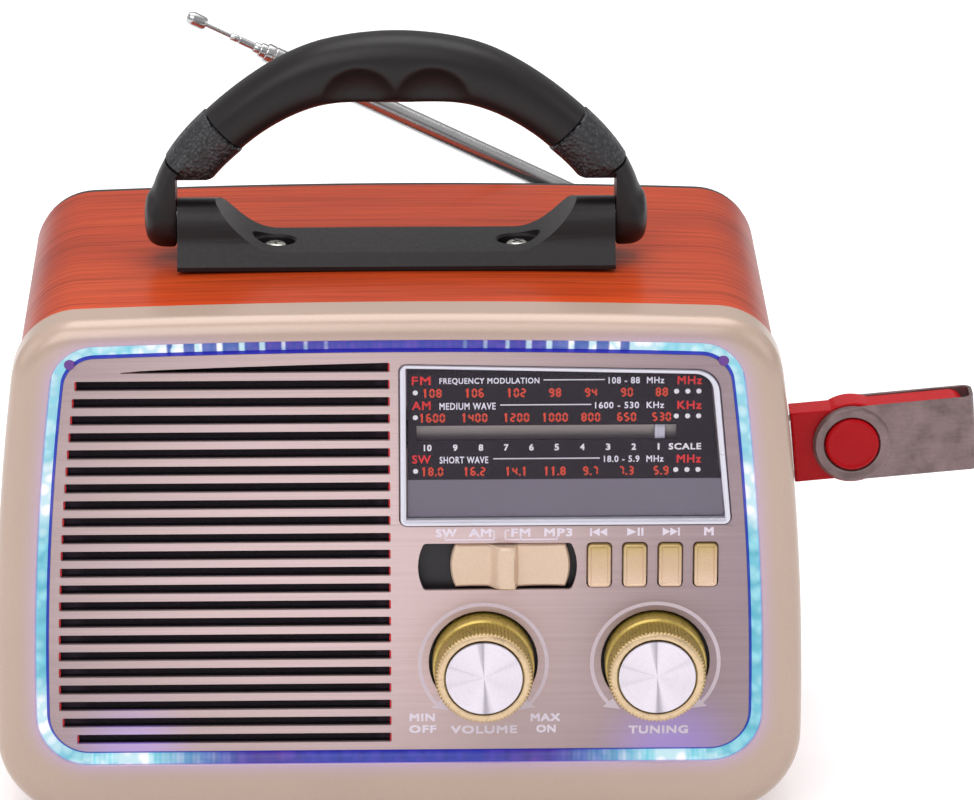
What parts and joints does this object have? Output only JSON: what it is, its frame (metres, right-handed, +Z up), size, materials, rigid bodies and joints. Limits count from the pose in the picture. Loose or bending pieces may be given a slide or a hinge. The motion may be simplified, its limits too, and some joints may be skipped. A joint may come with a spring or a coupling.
{
  "type": "tabletop radio",
  "caption": "Tabletop radio with veneered case, lit front, slotted grille, analogue dial, two knobs, folding carrying handle, telescopic aerial and swivel memory stick.",
  "frame": {"origin": "middle of the wooden wrap's underside, 4 mm above the table that the feet stand on", "axes": "+X to the right as seen from the front, +Y to the back, +Z up"},
  "size_m": [0.2215, 0.1206, 0.172],
  "materials": {
    "wood_veneer": "lacquered orange-red veneer",
    "cream_plastic": "pearl beige paint",
    "black_plastic": "satin",
    "black_rubber": "matte",
    "light_plastic": "clear diffusing plastic, lit from behind",
    "circuit_board": "solder mask",
    "facing_metal": "brushed pinkish champagne",
    "black_cloth": "acoustic cloth",
    "bare_steel": "bare",
    "black_paper": "pressed paper",
    "silver_trim": "satin silver plating",
    "clear_window": "clear polished",
    "dial_print": "printed scale",
    "white_plastic": "satin",
    "white_cord": "braided",
    "gold_plating": "olive gold plating",
    "spun_aluminium": "spun",
    "champagne_plating": "metallic champagne",
    "ferrite": "sintered",
    "plated_steel": "polished",
    "red_plastic": "glossy",
    "worn_steel": "brushed, lightly worn",
    "battery_wrap": "shrink wrap"
  },
  "bodies": {
    "housing": {"cabinet_shell": "wood_veneer", "front_bezel": "cream_plastic", "rear_cover": "black_plastic", "foot_front_left": "black_rubber", "foot_front_right": "black_rubber", "foot_rear_left": "black_rubber", "foot_rear_right": "black_rubber", "light_guide": "light_plastic", "led_board": "circuit_board", "front_panel": "facing_metal", "speaker_cloth": "black_cloth", "speaker_basket": "bare_steel", "dial_frame": "silver_trim", "dial_window": "clear_window", "dial_plate": "dial_print", "dial_cord": "white_cord", "tuning_capacitor": "white_plastic", "volume_control": "bare_steel", "band_switch": "bare_steel", "key_board": "circuit_board", "main_board": "circuit_board", "ferrite_rod": "ferrite", "handle_base": "black_plastic", "handle_screw_left": "plated_steel", "handle_screw_right": "plated_steel", "port_plate": "cream_plastic", "usb_socket": "bare_steel", "battery_pack": "battery_wrap", "dc_socket": "black_plastic", "antenna_mount": "black_plastic"},
    "cone": {"speaker_cone": "black_paper"},
    "handle": {"handle_bow": "black_plastic", "handle_sleeve_left": "black_rubber", "handle_sleeve_right": "black_rubber", "handle_pin_left": "bare_steel", "handle_pin_right": "bare_steel"},
    "aerial_foot": {"antenna_knuckle": "plated_steel"},
    "aerial_1": {"antenna_tube_1": "plated_steel"},
    "aerial_2": {"antenna_tube_2": "plated_steel"},
    "aerial_3": {"antenna_tube_3": "plated_steel"},
    "aerial_4": {"antenna_tube_4": "plated_steel"},
    "aerial_5": {"antenna_tube_5": "plated_steel"},
    "volume": {"volume_knob": "gold_plating", "volume_knob_cap": "spun_aluminium"},
    "tuning": {"tuning_knob": "gold_plating", "tuning_knob_cap": "spun_aluminium", "tuning_drum": "white_plastic"},
    "pointer": {"dial_pointer": "white_plastic"},
    "left_pulley": {"pulley_left": "white_plastic"},
    "right_pulley": {"pulley_right": "white_plastic"},
    "slider": {"band_slider": "champagne_plating"},
    "previous_key": {"key_previous": "champagne_plating"},
    "play_key": {"key_play": "champagne_plating"},
    "next_key": {"key_next": "champagne_plating"},
    "mode_key": {"key_mode": "champagne_plating"},
    "door": {"battery_door": "black_plastic"},
    "stick": {"usb_stick_body": "red_plastic"},
    "stick_cover": {"usb_stick_cover": "worn_steel"}
  },
  "joints": [
    {"name": "handle_fold", "type": "hinge", "parent": "housing", "child": "handle", "pos_m": [0, -0.0035, 0.1247], "axis": [1, 0, 0], "range_deg": [-80, 80]},
    {"name": "aerial_swing", "type": "hinge", "parent": "housing", "child": "aerial_foot", "pos_m": [0.0665, 0.0572, 0.098], "axis": [0, 1, 0], "range_deg": [-26, 154]},
    {"name": "aerial_tilt", "type": "hinge", "parent": "aerial_foot", "child": "aerial_1", "pos_m": [0.06021, 0.0572, 0.10107], "axis": [-0.4384, 0, -0.8988], "range_deg": [0, 90]},
    {"name": "aerial_slide_2", "type": "slide", "parent": "aerial_1", "child": "aerial_2", "axis": [-0.8988, 0, 0.4384], "range_m": [0, 0.08]},
    {"name": "aerial_slide_3", "type": "slide", "parent": "aerial_2", "child": "aerial_3", "axis": [-0.8988, 0, 0.4384], "range_m": [0, 0.08]},
    {"name": "aerial_slide_4", "type": "slide", "parent": "aerial_3", "child": "aerial_4", "axis": [-0.8988, 0, 0.4384], "range_m": [-0.0045, 0.08]},
    {"name": "aerial_slide_5", "type": "slide", "parent": "aerial_4", "child": "aerial_5", "axis": [-0.8988, 0, 0.4384], "range_m": [-0.0045, 0.08]},
    {"name": "volume_spin", "type": "hinge", "parent": "housing", "child": "volume", "pos_m": [0.0185, -0.05, 0.0362], "axis": [0, 1, 0], "range_deg": [-150, 150]},
    {"name": "tuning_spin", "type": "hinge", "parent": "housing", "child": "tuning", "pos_m": [0.0564, -0.05, 0.0362], "axis": [0, 1, 0], "range_deg": [-173.7, 6.3]},
    {"name": "pointer_slide", "type": "slide", "parent": "housing", "child": "pointer", "axis": [1, 0, 0], "range_m": [-0.0499, 0.002]},
    {"name": "left_pulley_spin", "type": "hinge", "parent": "housing", "child": "left_pulley", "pos_m": [0.0015, -0.0358, 0.0868], "axis": [0, 1, 0], "range_deg": [-960, 45]},
    {"name": "right_pulley_spin", "type": "hinge", "parent": "housing", "child": "right_pulley", "pos_m": [0.066, -0.0358, 0.0868], "axis": [0, 1, 0], "range_deg": [-960, 45]},
    {"name": "band_slide", "type": "slide", "parent": "housing", "child": "slider", "axis": [1, 0, 0], "range_m": [-0.0063, 0]},
    {"name": "previous_press", "type": "slide", "parent": "housing", "child": "previous_key", "axis": [0, 1, 0], "range_m": [0, 0.0008], "stiffness_N_per_m": 1900},
    {"name": "play_press", "type": "slide", "parent": "housing", "child": "play_key", "axis": [0, 1, 0], "range_m": [0, 0.0008], "stiffness_N_per_m": 1900},
    {"name": "next_press", "type": "slide", "parent": "housing", "child": "next_key", "axis": [0, 1, 0], "range_m": [0, 0.0008], "stiffness_N_per_m": 1900},
    {"name": "mode_press", "type": "slide", "parent": "housing", "child": "mode_key", "axis": [0, 1, 0], "range_m": [0, 0.0008], "stiffness_N_per_m": 1900},
    {"name": "battery_door_hinge", "type": "hinge", "parent": "housing", "child": "door", "pos_m": [0, 0.0511, 0.0119], "axis": [-1, 0, 0], "range_deg": [0, 85]},
    {"name": "stick_pull", "type": "slide", "parent": "housing", "child": "stick", "axis": [0.9954, 0, 0.0958], "range_m": [0, 0.03]},
    {"name": "stick_cover_turn", "type": "hinge", "parent": "stick", "child": "stick_cover", "pos_m": [0.10072, -0.024, 0.07848], "axis": [0, 1, 0], "range_deg": [-95, 95]},
    {"name": "cone_travel", "type": "slide", "parent": "housing", "child": "cone", "axis": [0, 1, 0], "range_m": [-0.0005, 0.0005], "stiffness_N_per_m": 2000}
  ],
  "couplings": [
    {"joint": "pointer_slide", "follows": "tuning_spin", "m_per_rad": 0.0164},
    {"joint": "left_pulley_spin", "follows": "tuning_spin", "ratio": 5.4667},
    {"joint": "right_pulley_spin", "follows": "tuning_spin", "ratio": 5.4667}
  ]
}
